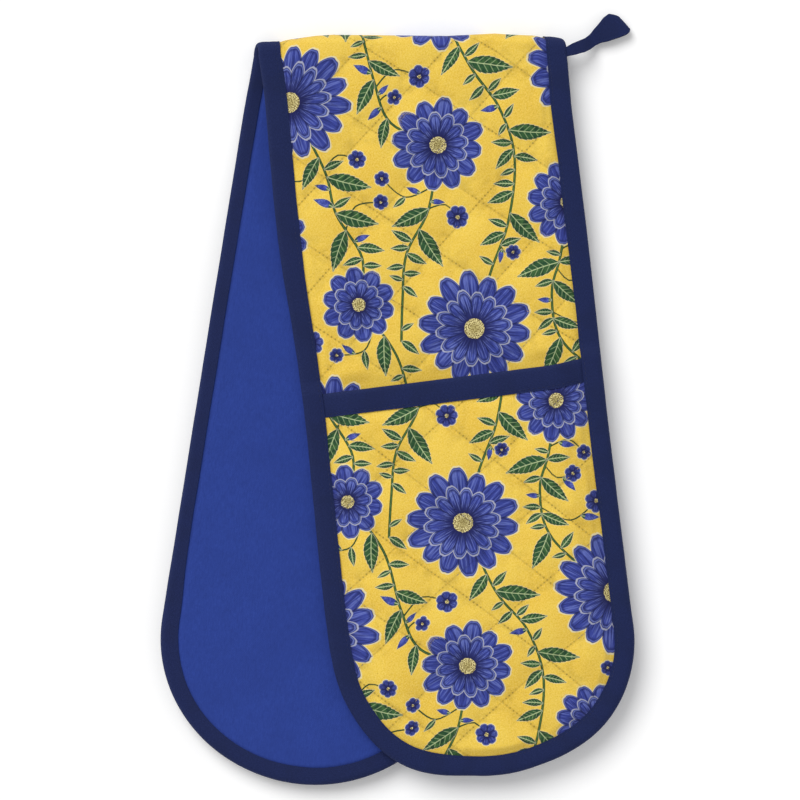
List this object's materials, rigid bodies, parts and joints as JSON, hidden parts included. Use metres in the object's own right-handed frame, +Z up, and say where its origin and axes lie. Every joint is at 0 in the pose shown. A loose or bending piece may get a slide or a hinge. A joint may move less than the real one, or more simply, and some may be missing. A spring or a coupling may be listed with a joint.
{
  "type": "double oven glove",
  "caption": "Quilted double oven glove, folded in half: a printed strip with a bound edge, a hand pocket at each end, a plain lining and a hanging loop.",
  "frame": {"origin": "on the surface that the folded glove lies on, under the middle of its bounding box", "axes": "+Z up off that surface, +Y towards the fold, +X towards the end of the fold with the loop"},
  "size_m": [0.2824, 0.4556, 0.0291],
  "materials": {
    "printed_cotton": "matte",
    "brushed_cotton": "matte",
    "binding_tape": "matte",
    "wadding": "matte"
  },
  "bodies": {
    "back_half": {"back_cover": "printed_cotton", "back_wadding": "wadding", "back_lining": "brushed_cotton", "back_pocket_cover": "printed_cotton", "back_pocket_wadding": "wadding", "back_pocket_lining": "brushed_cotton", "back_mouth_binding": "binding_tape", "back_edge_binding": "binding_tape"},
    "fold": {"fold_cover": "printed_cotton", "fold_wadding": "wadding", "fold_lining": "brushed_cotton", "fold_binding_left": "binding_tape", "fold_binding_right": "binding_tape"},
    "front_half": {"front_cover": "printed_cotton", "front_wadding": "wadding", "front_lining": "brushed_cotton", "front_pocket_cover": "printed_cotton", "front_pocket_wadding": "wadding", "front_pocket_lining": "brushed_cotton", "front_mouth_binding": "binding_tape", "front_edge_binding": "binding_tape"},
    "loop": {"hanging_loop": "binding_tape"}
  },
  "joints": [
    {"name": "fold_lower_turn", "type": "hinge", "parent": "back_half", "child": "fold", "pos_m": [-0.00124, 0.20692, 0.0015], "axis": [-1, 0, 0], "range_deg": [0, 60]},
    {"name": "fold_upper_turn", "type": "hinge", "parent": "fold", "child": "front_half", "pos_m": [0.00124, 0.20692, 0.0189], "axis": [-1, 0, 0], "range_deg": [0, 120]},
    {"name": "loop_swing", "type": "hinge", "parent": "front_half", "child": "loop", "pos_m": [0.09413, 0.20265, 0.0168], "axis": [0.1414, -0.9899, 0], "range_deg": [0, 115]}
  ],
  "couplings": [
    {"joint": "fold_lower_turn", "follows": "fold_upper_turn", "ratio": 0.5}
  ]
}
